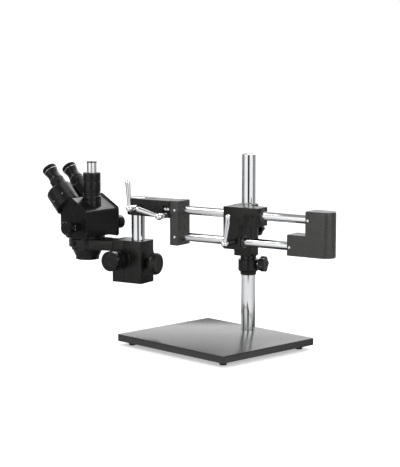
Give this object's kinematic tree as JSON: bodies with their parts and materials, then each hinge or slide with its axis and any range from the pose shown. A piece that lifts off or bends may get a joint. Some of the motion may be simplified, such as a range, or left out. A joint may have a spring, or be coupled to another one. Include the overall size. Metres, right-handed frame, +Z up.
{
  "type": "stereo microscope",
  "caption": "Trinocular stereo zoom microscope head on a rack focus block, carried by a sliding double-rail boom with a counterweight on a pole and flat base plate.",
  "frame": {"origin": "middle of the bounding box in plan, at the underside of the rubber feet", "axes": "+X along the base plate's long side, towards the counterweight's end; +Y towards the edge the pole stands near; +Z up"},
  "size_m": [0.7678, 0.296, 0.431],
  "materials": {
    "casting_paint": "satin black paint on cast aluminium",
    "weight_paint": "satin black paint on cast iron",
    "plate_paint": "fine textured black paint on steel plate",
    "chrome": "bright chrome plate",
    "steel": "turned steel",
    "plastic": "moulded black plastic",
    "rubber": "matt black rubber",
    "glass": "coated lens glass"
  },
  "bodies": {
    "stand": {"base_plate": "plate_paint", "foot_1": "rubber", "foot_2": "rubber", "foot_3": "rubber", "foot_4": "rubber", "pole": "chrome", "pole_screw": "steel"},
    "safety_collar": {"collar": "casting_paint"},
    "collar_clamp": {"collar_knob": "plastic"},
    "cross_block": {"cross_block": "casting_paint", "bushing_upper_left": "weight_paint", "bushing_upper_right": "weight_paint", "bushing_lower_left": "weight_paint", "bushing_lower_right": "weight_paint", "block_screw": "steel"},
    "block_clamp": {"block_knob": "plastic"},
    "boom_lock": {"boom_lever": "chrome"},
    "boom": {"rail_upper": "chrome", "rail_lower": "chrome", "end_plate": "weight_paint", "counterweight": "weight_paint", "plate_screw_upper": "steel", "plate_screw_lower": "steel", "weight_screw_upper": "steel", "weight_screw_lower": "steel"},
    "arm": {"arm": "casting_paint", "pivot_screw_1": "chrome", "pivot_screw_2": "chrome"},
    "tilt_lock": {"tilt_lever": "chrome"},
    "post_lock": {"post_lever": "chrome"},
    "post": {"post": "chrome"},
    "focus_block": {"focus_housing": "casting_paint"},
    "post_clamp": {"post_knob": "plastic"},
    "carriage": {"carriage": "casting_paint", "scope_ring": "casting_paint", "focus_flange_front": "casting_paint", "focus_flange_rear": "casting_paint"},
    "focus_knobs": {"focus_shaft": "steel", "focus_knob_front": "plastic", "focus_knob_rear": "plastic"},
    "ring_clamp": {"ring_screw": "steel"},
    "head": {"head_body": "casting_paint", "nosepiece": "casting_paint", "objective_lens": "glass", "port_tube": "casting_paint", "port_screw": "chrome", "phototube": "chrome"},
    "zoom_knobs": {"zoom_shaft": "steel", "zoom_knob_left": "plastic", "zoom_knob_right": "plastic"},
    "prism_left": {"prism_house_left": "casting_paint"},
    "prism_right": {"prism_house_right": "casting_paint"},
    "eyepiece_left": {"eyepiece_left": "plastic"},
    "eyepiece_right": {"eyepiece_right": "plastic"},
    "dust_cap": {"dust_cap": "plastic"}
  },
  "joints": [
    {"name": "collar_slide", "type": "slide", "parent": "stand", "child": "safety_collar", "axis": [0, 0, 1], "range_m": [-0.04, 0.1]},
    {"name": "collar_clamp_turn", "type": "hinge", "parent": "safety_collar", "child": "collar_clamp", "pos_m": [0.12469, 0.10196, 0.18], "axis": [0.9397, 0.342, 0], "range_deg": [-180, 180]},
    {"name": "block_swivel", "type": "hinge", "parent": "safety_collar", "child": "cross_block", "pos_m": [0.12469, 0.10196, 0.199], "axis": [0, 0, 1], "continuous": true},
    {"name": "block_clamp_turn", "type": "hinge", "parent": "cross_block", "child": "block_clamp", "pos_m": [0.12469, 0.10196, 0.257], "axis": [-0.2147, 0.9767, 0], "range_deg": [-180, 180]},
    {"name": "boom_lock_turn", "type": "hinge", "parent": "cross_block", "child": "boom_lock", "pos_m": [0.15159, 0.02944, 0.239], "axis": [-0.2147, 0.9767, 0], "range_deg": [-60, 60]},
    {"name": "boom_slide", "type": "slide", "parent": "cross_block", "child": "boom", "axis": [0.9767, 0.2147, 0], "range_m": [-0.11, 0.08]},
    {"name": "arm_tilt", "type": "hinge", "parent": "boom", "child": "arm", "pos_m": [-0.02487, 0.01379, 0.299], "axis": [0.9767, 0.2147, 0], "range_deg": [-15, 15]},
    {"name": "tilt_lock_turn", "type": "hinge", "parent": "arm", "child": "tilt_lock", "pos_m": [-0.02525, -0.0124, 0.2865], "axis": [-0.2147, 0.9767, 0], "range_deg": [-20, 60]},
    {"name": "post_lock_turn", "type": "hinge", "parent": "arm", "child": "post_lock", "pos_m": [-0.10143, -0.02916, 0.301], "axis": [-0.2147, 0.9767, 0], "range_deg": [-60, 20]},
    {"name": "post_slide", "type": "slide", "parent": "arm", "child": "post", "axis": [0, 0, 1], "range_m": [-0.008, 0.035]},
    {"name": "focus_swivel", "type": "hinge", "parent": "post", "child": "focus_block", "pos_m": [-0.12839, -0.00897, 0.169], "axis": [0, 0, 1], "range_deg": [-75, 75]},
    {"name": "post_clamp_turn", "type": "hinge", "parent": "focus_block", "child": "post_clamp", "pos_m": [-0.12839, -0.00897, 0.166], "axis": [0.9686, 0.2487, 0], "range_deg": [-180, 180]},
    {"name": "carriage_slide", "type": "slide", "parent": "focus_block", "child": "carriage", "axis": [0, 0, 1], "range_m": [-0.025, 0.025]},
    {"name": "focus_turn", "type": "hinge", "parent": "carriage", "child": "focus_knobs", "pos_m": [-0.15696, -0.01631, 0.175], "axis": [-0.2487, 0.9686, 0], "range_deg": [-240, 240]},
    {"name": "ring_clamp_turn", "type": "hinge", "parent": "carriage", "child": "ring_clamp", "pos_m": [-0.27077, -0.04553, 0.203], "axis": [0.1028, -0.9947, 0], "range_deg": [-180, 180]},
    {"name": "head_turn", "type": "hinge", "parent": "carriage", "child": "head", "pos_m": [-0.27077, -0.04553, 0.204], "axis": [0, 0, 1], "range_deg": [-90, 90]},
    {"name": "zoom_turn", "type": "hinge", "parent": "head", "child": "zoom_knobs", "pos_m": [-0.24981, -0.04429, 0.2465], "axis": [-0.0593, 0.9982, 0], "range_deg": [-150, 150]},
    {"name": "prism_left_turn", "type": "hinge", "parent": "head", "child": "prism_left", "pos_m": [-0.29677, -0.08013, 0.292], "axis": [-0.7059, -0.0419, 0.7071], "range_deg": [-40, 40]},
    {"name": "prism_right_turn", "type": "hinge", "parent": "head", "child": "prism_right", "pos_m": [-0.30068, -0.01425, 0.292], "axis": [-0.7059, -0.0419, 0.7071], "range_deg": [-40, 40]},
    {"name": "eyepiece_left_lift", "type": "slide", "parent": "prism_left", "child": "eyepiece_left", "axis": [-0.7059, -0.0419, 0.7071], "range_m": [0, 0.02]},
    {"name": "eyepiece_right_lift", "type": "slide", "parent": "prism_right", "child": "eyepiece_right", "axis": [-0.7059, -0.0419, 0.7071], "range_m": [0, 0.02]},
    {"name": "dust_cap_lift", "type": "slide", "parent": "head", "child": "dust_cap", "axis": [0, 0, 1], "range_m": [0, 0.02]}
  ],
  "couplings": [
    {"joint": "focus_turn", "follows": "carriage_slide", "rad_per_m": 166},
    {"joint": "prism_right_turn", "follows": "prism_left_turn", "ratio": -1}
  ]
}
